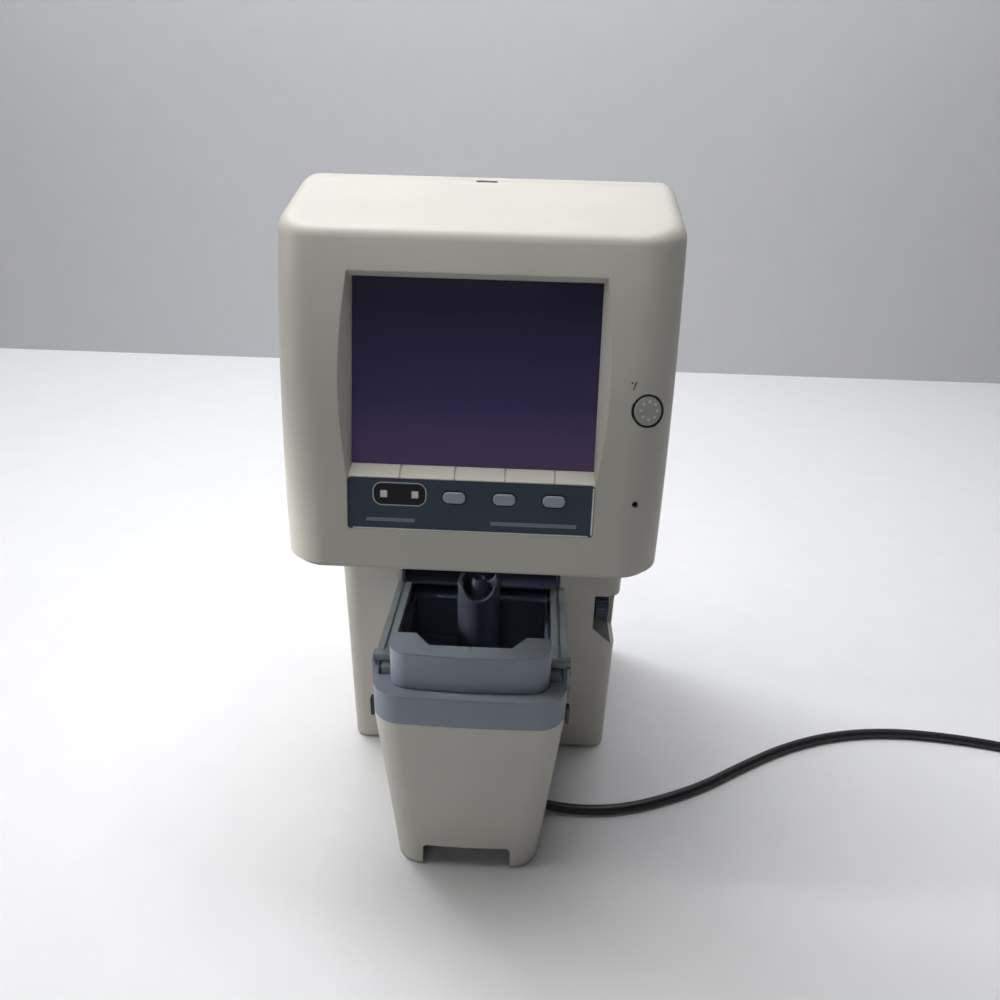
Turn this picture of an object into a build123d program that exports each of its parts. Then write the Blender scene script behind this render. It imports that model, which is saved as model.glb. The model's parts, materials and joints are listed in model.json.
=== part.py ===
from build123d import *
from math import atan2, cos, degrees, pi, radians, sin, tan
import os

os.makedirs("parts", exist_ok=True)

# A desktop auto lensmeter. X is to the operator's right, Y to the back, Z up; the table is at Z = 0.

# ---- Driving dimensions, mm ----
WALL = 3.0
HEAD_FOOT_HALF, HEAD_TOP_HALF = 104.0, 110.4  # half the head's width at its floor and its top
HEAD_CORNER, HEAD_EDGE = 25.0, 10.0  # rounding of the upright front corners, and of the other edges
HEAD_TOP = 420.0
TOWER_TOP_HALF = 103.0
BACK = 134.5
HEAD_FLOOR = 222.0
SEAM_Y = -19.0  # joint between the front and rear covers
SCREEN_TILT = 14.25
SCREEN_W, SCREEN_H = 130.6, 97.9
SCREEN_CENTRE = (0, -105.4, 325.9)
FACE_BULGE = 9.5  # how far the head's front face stands before the screen at mid height
FACE_EDGE = 3.0  # and at its top and bottom edges
PANEL_H = 28.4
TOWER_FRONT = -14.0
TOWER_FOOT_HALF = 99.0
SHELL_FOOT = 2.0
NOSE_FRONT = -132.5
NOSE_BULGE = 2.0
NOSE_FOOT_HALF, NOSE_TOP_HALF = 47.0, 59.5
NOSE_TOP = 116.0
TRAY_TOP = 136.0
RAIL_Z = 142.0
AXIS_Y = -33.0  # the optical axis
LENS_Z = 162.0  # where the measured lens rests
TABLE_HALF = 49.0
TABLE_BOTTOM, TABLE_TOP = 136.6, 161.7
SHAFT_Y, SHAFT_Z, SHAFT_R = 2.0, 125.0, 2.5
WHEEL_X, WHEEL_W, WHEEL_R = 84.8, 9.0, 12.0  # the thumbwheel's inner face, width and radius
RUNNING = 0.05  # radial clearance of a running fit
PINION_TEETH, MODULE = 16, 1.0
FOOT_H = 4.5
PLATE_Z = 18.0  # underside of the base plate's raised front
CORD_R = 3.5
COIL_CENTRE = (454.7, -55.1)
COIL_MEAN_R, COIL_BAND, COIL_H = 40.0, 26.0, 14.1

# ---- Working planes ----
UP = (0, sin(radians(SCREEN_TILT)), cos(radians(SCREEN_TILT)))
OUT = (0, -cos(radians(SCREEN_TILT)), sin(radians(SCREEN_TILT)))
SCREEN = Plane(origin=SCREEN_CENTRE, x_dir=(1, 0, 0), z_dir=OUT)


def side_point(up, out):
    """A point of the side view, (y, z), from its place along and before the screen."""
    return (SCREEN_CENTRE[1] + up * UP[1] + out * OUT[1], SCREEN_CENTRE[2] + up * UP[2] + out * OUT[2])


def block(x, y, z, mode=Mode.ADD):
    """A box between the two ends given on each axis."""
    with Locations(((x[0] + x[1]) / 2, (y[0] + y[1]) / 2, (z[0] + z[1]) / 2)):
        Box(x[1] - x[0], y[1] - y[0], z[1] - z[0], mode=mode)


def rod(centre, radius, length, axis="Z", mode=Mode.ADD):
    """A round bar centred on a point, along one axis."""
    turn = {"X": (0, 90, 0), "Y": (90, 0, 0), "Z": (0, 0, 0)}[axis]
    with Locations(centre):
        Cylinder(radius, length, rotation=turn, mode=mode)


def save(piece, node):
    piece.part.label = node
    export_step(piece.part, f"parts/{node}.step")


# ---- Head covers ----
FACE_FOOT = side_point(-105, FACE_EDGE)
FACE_MIDDLE = side_point(-16.5, FACE_BULGE)
FACE_BROW = side_point(72, FACE_EDGE)
CREST = (-14.0, 419.0)
BACK_SHOULDER = (BACK, 406.0)


def head_solid(inset, floor):
    """The head's outer form down to a floor height, or the same form inset all round."""
    lean = (HEAD_TOP_HALF - HEAD_FOOT_HALF) / (HEAD_TOP - HEAD_FLOOR)
    foot, top = HEAD_FOOT_HALF - inset + (floor - HEAD_FLOOR) * lean, HEAD_TOP_HALF - inset
    with BuildPart() as body:
        with BuildSketch(Plane.XZ):
            Polygon((-foot, floor), (foot, floor), (top, HEAD_TOP), (-top, HEAD_TOP), align=None)
        extrude(amount=200, both=True)
        with BuildSketch(Plane.YZ) as side:
            with BuildLine():
                ThreePointArc(FACE_FOOT, FACE_MIDDLE, FACE_BROW)
                Polyline(FACE_BROW, CREST, BACK_SHOULDER,
                         (BACK, floor - 40), (FACE_FOOT[0], floor - 40), FACE_FOOT)
            make_face()
            for corner, radius in ((CREST, 60), (BACK_SHOULDER, 16)):
                fillet(side.vertices().sort_by_distance(Vector(*corner))[0], radius)
            if inset:
                offset(amount=-inset, mode=Mode.REPLACE)
        extrude(amount=200, both=True, mode=Mode.INTERSECT)
        corners = [
            body.edges().sort_by_distance(Vector(side * HEAD_TOP_HALF, *FACE_MIDDLE))[0]
            for side in (-1, 1)
        ]
        fillet(corners, HEAD_CORNER - inset)
        uprights = [
            body.edges().sort_by_distance(Vector(side * HEAD_TOP_HALF, BACK, HEAD_FLOOR + 80))[0]
            for side in (-1, 1)
        ]
        fillet(uprights, HEAD_EDGE - inset)
    return body.part


FRONT_FLOOR = HEAD_FLOOR + 2.8
PANEL_Y, PANEL_Z = side_point(-69.75, 5.9)
PANEL_TILT = SCREEN_TILT - 5.0
PANEL = Plane(
    origin=(0, PANEL_Y, PANEL_Z),
    x_dir=(1, 0, 0),
    z_dir=(0, -cos(radians(PANEL_TILT)), sin(radians(PANEL_TILT))),
)
BUTTON_UP, BUTTON_X, BUTTON_TURN = -15.0, 90.5, 16.0
BUTTON_SINK = 7.0  # how far the button stands before the screen
BUTTON_Y, BUTTON_Z = side_point(BUTTON_UP, BUTTON_SINK)
BUTTON = Plane(
    origin=(BUTTON_X, BUTTON_Y, BUTTON_Z),
    x_dir=(
        cos(radians(BUTTON_TURN)),
        -sin(radians(BUTTON_TURN)) * OUT[1],
        -sin(radians(BUTTON_TURN)) * OUT[2],
    ),
    z_dir=(sin(radians(BUTTON_TURN)), cos(radians(BUTTON_TURN)) * OUT[1], cos(radians(BUTTON_TURN)) * OUT[2]),
)
BUTTON_R, RING_IN, RING_OUT = 7.5, 7.8, 8.7
TRIMMER_X, TRIMMER_UP = 87.3, -64.5
TRIMMER_END = 4.4
KEY_XS = (-8.7, 18.0, 44.5)
KEY_LINE = 5.0  # the keys' height on the panel
KEY_W, KEY_H = 12.0, 6.0
KEY_GAP = 0.3
SELECT_X, SELECT_STEP, SELECT_SIDE = -38.0, 8.4, 3.6
SELECT_W, SELECT_H = 27.0, 11.0

LEDGE_LOW = 10.9  # how far the screen's lower border has dropped, 12 mm before the screen
LEDGE_TURN = degrees(atan2(12, LEDGE_LOW))
POCKET = (
    (0, SCREEN_W / 2, SCREEN_W / 2 + 0.02, SCREEN_W / 2, SCREEN_H / 2, -SCREEN_H / 2),
    (12, 68.9, 72.3, 65.9, 53.0, -SCREEN_H / 2 - LEDGE_LOW),
)  # rise before the screen, half widths at top, middle and foot, and the top's and foot's heights
LEDGE_Y, LEDGE_Z = side_point(-SCREEN_H / 2 - 3.2, 3.5)
LEDGE = Plane(
    origin=(0, LEDGE_Y, LEDGE_Z),
    x_dir=(1, 0, 0),
    z_dir=(0, -cos(radians(SCREEN_TILT + LEDGE_TURN)), sin(radians(SCREEN_TILT + LEDGE_TURN))),
)

head_outer = head_solid(0, FRONT_FLOOR)
head_inner = head_solid(WALL, FRONT_FLOOR - 5)

with BuildPart() as surround:
    with BuildSketch(SCREEN.offset(-2)):
        Rectangle(152, 118)
    extrude(amount=16)
    with BuildSketch(PANEL.offset(-3.6)):
        Rectangle(140, 36)
    extrude(amount=14)
    add(head_outer, mode=Mode.INTERSECT)

with BuildPart() as front_cover:
    add(head_outer)
    add(head_inner, mode=Mode.SUBTRACT)
    add(surround.part)
    block((-150, 150), (SEAM_Y, 200), (200, 450), mode=Mode.SUBTRACT)
    for rise, top, middle, bottom, head, foot in POCKET:
        with BuildSketch(SCREEN.offset(rise)):
            with BuildLine():
                Line((-top, head), (top, head))
                ThreePointArc((top, head), (middle, 0), (bottom, foot))
                Line((bottom, foot), (-bottom, foot))
                ThreePointArc((-bottom, foot), (-middle, 0), (-top, head))
            make_face()
    loft(ruled=True, mode=Mode.SUBTRACT)
    with BuildSketch(SCREEN.offset(-3)):
        Rectangle(SCREEN_W, SCREEN_H)
    extrude(amount=4, mode=Mode.SUBTRACT)
    with BuildSketch(PANEL.offset(-1.6)):
        RectangleRounded(132, PANEL_H + 0.2, 2)
    extrude(amount=12, mode=Mode.SUBTRACT)
    with BuildSketch(PANEL.offset(-8)):
        with Locations(*[(x, KEY_LINE) for x in KEY_XS]):
            SlotOverall(KEY_W + 2 * KEY_GAP, KEY_H + 2 * KEY_GAP)
        with Locations((SELECT_X, KEY_LINE + 0.8)):
            RectangleRounded(SELECT_W + 0.2, SELECT_H + 0.2, 3)
    extrude(amount=8, mode=Mode.SUBTRACT)
    with BuildSketch(BUTTON.offset(-16)):
        Circle(RING_OUT)
    extrude(amount=22, mode=Mode.SUBTRACT)
    with BuildSketch(SCREEN.offset(-6)):
        with Locations((TRIMMER_X, TRIMMER_UP)):
            Circle(1.6)
    extrude(amount=20, mode=Mode.SUBTRACT)
    with BuildSketch(LEDGE.offset(-0.5)):
        with Locations(*[(x, 0) for x in (SELECT_X, *KEY_XS)]):
            Rectangle(0.7, 9.3)
    extrude(amount=6, mode=Mode.SUBTRACT)
    block((-6, 6), (SEAM_Y - 3.5, SEAM_Y), (405, HEAD_TOP + 5), mode=Mode.SUBTRACT)
save(front_cover, "front_cover")

with BuildPart() as rear_cover:
    add(head_solid(0, HEAD_FLOOR))
    add(head_solid(WALL, HEAD_FLOOR - 5), mode=Mode.SUBTRACT)
    block((-150, 150), (-200, SEAM_Y + 0.2), (200, 450), mode=Mode.SUBTRACT)
    with BuildSketch(Plane.XZ.offset(-BACK + 5)):
        with Locations((0, 340)):
            with GridLocations(64, 8, 2, 8):
                SlotOverall(52, 3.2)
    extrude(amount=-10, mode=Mode.SUBTRACT)
save(rear_cover, "rear_cover")

BARREL_R = 13.0
GUIDE_X, GUIDE_Y, GUIDE_R = 36.0, -45.0, 7.0
with BuildPart() as floor_cover:
    add(head_solid(WALL + 0.2, HEAD_FLOOR))
    block((-150, 150), (-200, 200), (HEAD_FLOOR + 4.8, 450), mode=Mode.SUBTRACT)
    block((-150, 150), (TOWER_FRONT - 0.2, 200), (200, 450), mode=Mode.SUBTRACT)
    rod((0, AXIS_Y, HEAD_FLOOR), BARREL_R, 20, mode=Mode.SUBTRACT)
    rod((GUIDE_X, GUIDE_Y, HEAD_FLOOR), GUIDE_R, 20, mode=Mode.SUBTRACT)
save(floor_cover, "head_floor_cover")

# ---- Screen and operating panel ----
with BuildPart(SCREEN) as screen_window:
    block((-SCREEN_W / 2 + 0.1, SCREEN_W / 2 - 0.1), (-SCREEN_H / 2 + 0.1, SCREEN_H / 2 - 0.1), (-2, -0.3))
save(screen_window, "screen_window")

with BuildPart(SCREEN) as lcd_panel:
    block((-70, 70), (-54, 54), (-9, -2))
    block((-40, 40), (-58, -54), (-8, -6))
save(lcd_panel, "lcd_panel")

with BuildPart(SCREEN) as lcd_bracket:
    block((-74, 74), (-58, 58), (-12, -9))
    block((-60, 60), (-46, 46), (-13, -8), mode=Mode.SUBTRACT)
    block((70, 91), (-73, -58), (-12, -10))
    for side in (-1, 1):
        block((72 * side - 2, 72 * side + 2), (-58, 58), (-12, -2))
save(lcd_bracket, "lcd_bracket")

with BuildPart(PANEL) as panel_insert:
    with BuildSketch(PANEL.offset(-1.6)):
        RectangleRounded(131.8, PANEL_H, 2)
        with Locations(*[(x, KEY_LINE) for x in KEY_XS]):
            SlotOverall(KEY_W + 2 * KEY_GAP, KEY_H + 2 * KEY_GAP, mode=Mode.SUBTRACT)
        with Locations((SELECT_X, KEY_LINE + 0.8)):
            RectangleRounded(SELECT_W + 0.2, SELECT_H + 0.2, 3, mode=Mode.SUBTRACT)
    extrude(amount=1.6)
save(panel_insert, "panel_insert")

with BuildPart() as select_bezel:
    with BuildSketch(PANEL.offset(-1.6)):
        with Locations((SELECT_X, KEY_LINE + 0.8)):
            RectangleRounded(SELECT_W, SELECT_H, 3)
        with Locations(*[(SELECT_X + side * SELECT_STEP, KEY_LINE + 0.8) for side in (-1, 1)]):
            Rectangle(SELECT_SIDE + 2 * KEY_GAP, SELECT_SIDE + 2 * KEY_GAP, mode=Mode.SUBTRACT)
    extrude(amount=1.9)
save(select_bezel, "select_bezel")

KEY_BACK = -6.6  # face of the key board, from the panel's face
for number, x in enumerate(KEY_XS, start=1):
    with BuildPart() as function_key:
        with BuildSketch(PANEL.offset(-3)):
            with Locations((x, KEY_LINE)):
                SlotOverall(KEY_W, KEY_H)
        extrude(amount=4.2)
        fillet(function_key.faces().sort_by(Axis.Y)[0].edges(), 0.6)
        with BuildSketch(PANEL.offset(-3)):
            with Locations((x, KEY_LINE)):
                Circle(2)
        extrude(amount=KEY_BACK + 0.8 + 3)
    save(function_key, f"function_key_{number}")

for name, side in (("left", -1), ("right", 1)):
    with BuildPart() as select_key:
        with BuildSketch(PANEL.offset(KEY_BACK + 0.8)):
            with Locations((SELECT_X + side * SELECT_STEP, KEY_LINE + 0.8)):
                Rectangle(SELECT_SIDE, SELECT_SIDE)
        extrude(amount=-KEY_BACK - 0.8 + 0.7)
    save(select_key, f"select_key_{name}")

with BuildPart(PANEL) as key_board:
    block((-62, 62), (-13, 9.5), (KEY_BACK - 1.6, KEY_BACK))
    for x in (-58, 58):
        rod((x, 0, (KEY_BACK - 3.6) / 2), 2.5, -3.6 - KEY_BACK)
save(key_board, "key_board")

with BuildPart(BUTTON) as memory_button:
    rod((0, 0, -1), BUTTON_R, 4)
    fillet(memory_button.edges().filter_by(GeomType.CIRCLE).sort_by(Axis.Y)[0], 0.5)
    rod((0, 0, -5.5), 2, 5.2)
    with PolarLocations(4.7, 8):
        with Locations((0, 0, 1)):
            Cylinder(0.6, 0.7)
save(memory_button, "memory_button")

with BuildPart(BUTTON) as button_ring:
    rod((0, 0, -4.9), RING_OUT, 10.2)
    with Locations((0, 0, -3.9)):
        Cylinder(RING_IN, 10.2, mode=Mode.SUBTRACT)
save(button_ring, "button_ring")

with BuildPart(SCREEN) as contrast_trimmer:
    rod((TRIMMER_X, TRIMMER_UP, (TRIMMER_END - 10) / 2), 1.2, TRIMMER_END + 10)
    rod((TRIMMER_X, TRIMMER_UP, -7), 3, 6)
    slot_x, slot_up = (TRIMMER_X - 1.5, TRIMMER_X + 1.5), (TRIMMER_UP - 0.25, TRIMMER_UP + 0.25)
    block(slot_x, slot_up, (TRIMMER_END - 0.8, TRIMMER_END + 1), mode=Mode.SUBTRACT)
save(contrast_trimmer, "contrast_trimmer")

# ---- Tower ----
with BuildPart() as column_outer:
    for half, z in ((TOWER_FOOT_HALF, SHELL_FOOT), (TOWER_TOP_HALF, HEAD_FLOOR)):
        with BuildSketch(Plane.XY.offset(z)):
            with Locations((0, (TOWER_FRONT + BACK) / 2)):
                RectangleRounded(2 * half, BACK - TOWER_FRONT, 11)
    loft(ruled=True)

with BuildPart() as column_inner:
    for half, z in ((TOWER_FOOT_HALF, SHELL_FOOT), (TOWER_TOP_HALF, HEAD_FLOOR)):
        with BuildSketch(Plane.XY.offset(z)):
            with Locations((0, (TOWER_FRONT + BACK) / 2)):
                RectangleRounded(2 * (half - WALL), BACK - TOWER_FRONT - 2 * WALL, 11 - WALL)
    loft(ruled=True)

RECESS_X, RECESS_BACK = 83.0, 19.0
RECESS_TOP, RECESS_INNER_FLOOR, RECESS_OUTER_FLOOR = 139.5, 112.0, 95.0
NICHE_HALF = 57.0
PANEL_HOLE = ((-52, 52), (24, 84))
SCREW_SPOTS = [(side * 88, z) for side in (-1, 1) for z in (30, 200)]


def recess_outline(grow):
    """Front view of the thumbwheel's corner recess, grown by a wall."""
    Polygon(
        (RECESS_X - grow, RECESS_TOP + grow),
        (RECESS_X - grow, RECESS_INNER_FLOOR - grow),
        (120, RECESS_OUTER_FLOOR - 17 - grow),
        (120, RECESS_TOP + grow),
        align=None,
    )


with BuildPart() as recess_walls:
    with BuildSketch(Plane.XZ.offset(-RECESS_BACK - 2)):
        recess_outline(2)
    extrude(amount=60)
    add(column_outer.part, mode=Mode.INTERSECT)

with BuildPart() as column_cover:
    add(column_outer.part)
    add(column_inner.part, mode=Mode.SUBTRACT)
    add(recess_walls.part)
    with BuildSketch(Plane.XZ.offset(-RECESS_BACK)):
        recess_outline(0)
    extrude(amount=60, mode=Mode.SUBTRACT)
    block((-44, 44), (-20, -10), (0, 119), mode=Mode.SUBTRACT)
    block((-NICHE_HALF, NICHE_HALF), (-20, -10), (118, 230), mode=Mode.SUBTRACT)
    block(PANEL_HOLE[0], (BACK - 5, BACK + 2), PANEL_HOLE[1], mode=Mode.SUBTRACT)
    rod((RECESS_X - 1, SHAFT_Y, SHAFT_Z), SHAFT_R + 0.6, 12, "X", Mode.SUBTRACT)
    for x, z in SCREW_SPOTS:
        rod((x, BACK, z), 4, 4, "Y", Mode.SUBTRACT)
save(column_cover, "column_cover")

with BuildPart() as rear_panel:
    block((-51.8, 51.8), (BACK - 4, BACK - 2), (24.2, 83.8))
    block((-46, -26), (BACK - 6, BACK), (38, 68), mode=Mode.SUBTRACT)
    block((6, 44), (BACK - 6, BACK), (58, 70), mode=Mode.SUBTRACT)
save(rear_panel, "rear_panel")

with BuildPart() as data_port:
    block((6.2, 43.8), (BACK - 14, BACK - 1.5), (58.2, 69.8))
    block((10, 40), (BACK - 6, BACK), (60.5, 67.5), mode=Mode.SUBTRACT)
    with BuildSketch(Plane.XZ.offset(-BACK + 7)):
        with Locations((25, 64)):
            with GridLocations(3, 2.6, 9, 2):
                Circle(0.5)
    extrude(amount=-2)
save(data_port, "data_port")

SWITCH_PIVOT = (-36, BACK - 6.5, 53)
SWITCH_TILT = 7.0  # the rocker leans this far to its off side
with BuildPart() as switch_frame:
    block((-45.8, -26.2), (BACK - 20, BACK - 1.8), (38.2, 67.8))
    block((-43.8, -28.2), (BACK - 15, BACK), (40.2, 65.8), mode=Mode.SUBTRACT)
save(switch_frame, "switch_frame")

ROCKER = Plane(
    origin=(SWITCH_PIVOT[0] - 7.5, SWITCH_PIVOT[1], SWITCH_PIVOT[2]),
    x_dir=(0, cos(radians(SWITCH_TILT)), -sin(radians(SWITCH_TILT))),
    z_dir=(1, 0, 0),
)
with BuildPart() as power_rocker:
    with BuildSketch(ROCKER):
        Polygon((-2.5, -11.5), (3, -12), (4, 0), (3, 12), (-2.5, 11.5), (-4.5, 0), align=None)
    extrude(amount=15)
save(power_rocker, "power_rocker")

with BuildPart() as housing_screws:
    for x, z in SCREW_SPOTS:
        rod((x, BACK - 1.2, z), 3.4, 1.6, "Y")
        block((x - 2.4, x + 2.4), (BACK - 1, BACK), (z - 0.4, z + 0.4), mode=Mode.SUBTRACT)
        block((x - 0.4, x + 0.4), (BACK - 1, BACK), (z - 2.4, z + 2.4), mode=Mode.SUBTRACT)
save(housing_screws, "housing_screws")

with BuildPart() as niche_liner:
    block((-56.8, 56.8), (TOWER_FRONT, 36), (143.5, HEAD_FLOOR - 0.5))
    block((-54.8, 54.8), (TOWER_FRONT - 1, 34), (145.5, HEAD_FLOOR + 1), mode=Mode.SUBTRACT)
save(niche_liner, "niche_liner")

# ---- Nose, tray and rails ----


def nose_outline(half, front, radius):
    """Plan of the nose: a blunt front bowed slightly forward, with round corners."""
    with BuildSketch() as outline:
        with BuildLine():
            Polyline((-half, front), (-half, TOWER_FRONT), (half, TOWER_FRONT), (half, front))
            ThreePointArc((half, front), (0, front - NOSE_BULGE), (-half, front))
        make_face()
        fillet(outline.vertices().group_by(Axis.Y)[0], radius)
    return outline.sketch


with BuildPart() as nose_inner:
    for half, z in ((NOSE_FOOT_HALF, SHELL_FOOT), (NOSE_TOP_HALF, NOSE_TOP)):
        with BuildSketch(Plane.XY.offset(z)):
            add(nose_outline(half - WALL, NOSE_FRONT + WALL, 15))
    loft(ruled=True)

with BuildPart() as nose_cover:
    for half, z in ((NOSE_FOOT_HALF, SHELL_FOOT), (NOSE_TOP_HALF, NOSE_TOP)):
        with BuildSketch(Plane.XY.offset(z)):
            add(nose_outline(half, NOSE_FRONT, 18))
    loft(ruled=True)
    add(nose_inner.part, mode=Mode.SUBTRACT)
    with BuildSketch(Plane.XZ.offset(-NOSE_FRONT - 8)) as cutout:
        with Locations((0, 9)):
            Rectangle(57, 17)
        fillet(cutout.vertices().group_by(Axis.Y)[-1], 3)
    extrude(amount=20, mode=Mode.SUBTRACT)
    block((40, 52), (-88, -76), (0, 15), mode=Mode.SUBTRACT)
save(nose_cover, "nose_cover")

with BuildPart() as tray:
    with BuildSketch(Plane.XY.offset(NOSE_TOP)):
        add(nose_outline(NOSE_TOP_HALF, NOSE_FRONT, 18))
    extrude(amount=TRAY_TOP - NOSE_TOP)
    block((-48.6, 48.6), (-116, TOWER_FRONT), (NOSE_TOP, TRAY_TOP), mode=Mode.SUBTRACT)
    block((-56.8, 56.8), (-112, TOWER_FRONT), (TRAY_TOP - 6, TRAY_TOP), mode=Mode.SUBTRACT)
    with BuildSketch(Plane.YZ.offset(NOSE_TOP_HALF - 2.5)):
        with BuildLine():
            Polyline((TOWER_FRONT, TRAY_TOP), (TOWER_FRONT, RAIL_Z), (-104, RAIL_Z),
                     (-112, TRAY_TOP), close=True)
        make_face()
    extrude(amount=2.5)
    with BuildSketch(Plane.YZ.offset(-NOSE_TOP_HALF)):
        with BuildLine():
            Polyline((TOWER_FRONT, TRAY_TOP), (TOWER_FRONT, RAIL_Z), (-104, RAIL_Z),
                     (-112, TRAY_TOP), close=True)
        make_face()
    extrude(amount=2.5)
save(tray, "tray")

with BuildPart() as well_liner:
    block((-48.5, 48.5), (-115.9, -16), (100, 134))
    block((-46.5, 46.5), (-113.9, -18), (102, 140), mode=Mode.SUBTRACT)
    rod((0, AXIS_Y, 101), 15, 10, mode=Mode.SUBTRACT)
    block((-48.5, 48.5), (-18.5, 30), (134, 135.5))
save(well_liner, "well_liner")

RAIL_END = -106.0
with BuildPart() as rails:
    for side in (-1, 1):
        inner, outer = sorted((side * 50, side * 60))
        block((inner, outer), (-100, TOWER_FRONT - 0.2), (RAIL_Z, RAIL_Z + 3))
        block((side * 55 - 0.8, side * 55 + 0.8), (-98, TOWER_FRONT),
              (RAIL_Z + 1.8, RAIL_Z + 4), mode=Mode.SUBTRACT)
        inner, outer = sorted((side * 50, side * 61.5))
        block((inner, outer), (RAIL_END, -100), (RAIL_Z, RAIL_Z + 4.2))
        inner, outer = sorted((side * NOSE_TOP_HALF, side * 61.5))
        block((inner, outer), (RAIL_END - 2, -101), (122, RAIL_Z + 1))
save(rails, "rails")

with BuildPart() as rail_screws:
    for side in (-1, 1):
        for z in (126, 137):
            rod((side * 61.8, -104.5, z), 1.3, 0.6, "X")
save(rail_screws, "rail_screws")

with BuildPart() as nose_catches:
    for side in (-1, 1):
        inner, outer = sorted((side * NOSE_TOP_HALF, side * 61.8))
        block((inner, outer), (-118, -113), (109, 121))
save(nose_catches, "nose_catches")

# ---- Frame table and its drive ----
with BuildPart() as frame_table:
    with BuildSketch(Plane.XY.offset(TABLE_BOTTOM)) as table_plan:
        with BuildLine():
            Polyline((-TABLE_HALF, -124), (-TABLE_HALF, -103.5), (-34, -103.5), (-25, -115.6), (25, -115.6),
                     (34, -103.5), (TABLE_HALF, -103.5), (TABLE_HALF, -124))
            ThreePointArc((TABLE_HALF, -124), (0, -127.6), (-TABLE_HALF, -124))
        make_face()
        fillet(table_plan.vertices().group_by(Axis.Y)[0], 12)
    extrude(amount=TABLE_TOP - TABLE_BOTTOM)
    block((-0.4, 0.4), (-122, -115), (TABLE_TOP - 0.6, TABLE_TOP), mode=Mode.SUBTRACT)
save(frame_table, "frame_table")

PITCH = pi * MODULE
RACK_ROOT = SHAFT_Z + PINION_TEETH * MODULE / 2 + 1.2
with BuildPart() as table_racks:
    for side in (-1, 1):
        inner, outer = sorted((side * 50.5, side * 55.5))
        block((inner, outer), (-111.5, 12), (RACK_ROOT, 141))
        inner, outer = sorted((side * TABLE_HALF, side * 51))
        block((inner, outer), (-111.5, -104), (137, 141))
        with BuildSketch(Plane.YZ.offset(side * 53 - 2)):
            for tooth in range(-16, 3):
                middle = SHAFT_Y + PITCH * (tooth + 0.5)
                with BuildLine():
                    Polyline((middle - 0.95, RACK_ROOT + 0.2), (middle - 0.35, RACK_ROOT - 2),
                             (middle + 0.35, RACK_ROOT - 2), (middle + 0.95, RACK_ROOT + 0.2), close=True)
                make_face()
        extrude(amount=4)
save(table_racks, "table_racks")

with BuildPart() as cross_shaft:
    rod(((WHEEL_X + WHEEL_W - 57) / 2, SHAFT_Y, SHAFT_Z), SHAFT_R, WHEEL_X + WHEEL_W + 57, "X")
save(cross_shaft, "cross_shaft")

with BuildPart() as pinions:
    for side in (-1, 1):
        with BuildSketch(Plane.YZ.offset(side * 53 - 2)):
            with Locations((SHAFT_Y, SHAFT_Z)):
                Circle(PINION_TEETH * MODULE / 2 - 1.2)
                for tooth in range(PINION_TEETH):
                    with Locations(Location((0, 0), 90 + tooth * 360 / PINION_TEETH)):
                        with Locations((7.6, 0)):
                            Trapezoid(1.9, 2.4, 76, rotation=-90)
                Circle(SHAFT_R, mode=Mode.SUBTRACT)
        extrude(amount=4)
save(pinions, "pinions")

with BuildPart() as thumbwheel:
    with BuildSketch(Plane.YZ.offset(WHEEL_X)):
        with Locations((SHAFT_Y, SHAFT_Z)):
            Circle(WHEEL_R)
            with PolarLocations(WHEEL_R + 0.3, 24):
                Circle(0.8, mode=Mode.SUBTRACT)
            Circle(SHAFT_R, mode=Mode.SUBTRACT)
    extrude(amount=WHEEL_W)
save(thumbwheel, "thumbwheel")

# ---- Measuring optics ----
with BuildPart() as objective_pillar:
    rod((0, AXIS_Y, 90), 15, 140)
    rod((0, AXIS_Y, 80), 12, 126, mode=Mode.SUBTRACT)
    rod((0, AXIS_Y, 150), 5, 30, mode=Mode.SUBTRACT)
    rod((0, AXIS_Y, 154), 12, 16, mode=Mode.SUBTRACT)
    rod((0, AXIS_Y, 162), 11, 40, "Y", Mode.SUBTRACT)
save(objective_pillar, "objective_pillar")

with BuildPart() as nosepiece:
    with BuildSketch(Plane.XZ.offset(-AXIS_Y)) as nosepiece_half:
        with BuildLine():
            Polyline((3.5, 146), (9, 146), (9, 148.5), (7, 149.5),
                     (4.6, LENS_Z - 0.8), (4.2, LENS_Z), (3.5, LENS_Z),
                     close=True)
        make_face()
    revolve(axis=Axis((0, AXIS_Y, 0), (0, 0, 1)))
save(nosepiece, "nosepiece")

with BuildPart() as hartmann_plate:
    rod((0, AXIS_Y, 128.5), 11.95, 1.5)
    with Locations((0, AXIS_Y, 128.5)):
        with PolarLocations(6, 4):
            Cylinder(1.5, 3, mode=Mode.SUBTRACT)
save(hartmann_plate, "hartmann_plate")


def lens(node, z, radius, thickness):
    """A round plano-convex lens on the optical axis."""
    dome_r = 2.2 * radius
    with BuildPart() as glass:
        rod((0, AXIS_Y, z + thickness / 2), radius, thickness)
        with Locations((0, AXIS_Y, z + thickness - dome_r)):
            Sphere(dome_r, mode=Mode.INTERSECT)
    save(glass, node)


lens("imaging_lens", 96, 11.95, 4)

with BuildPart() as sensor_board:
    rod((0, AXIS_Y, 60.8), 11.95, 1.6)
    block((-5, 5), (AXIS_Y - 5, AXIS_Y + 5), (61.6, 63.2))
save(sensor_board, "sensor_board")

with BuildPart() as light_barrel:
    rod((0, AXIS_Y, 235), BARREL_R, 54)
    rod((0, AXIS_Y, 235), 10, 60, mode=Mode.SUBTRACT)
save(light_barrel, "light_barrel")

lens("field_lens", 212, 9.95, 4)

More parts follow.
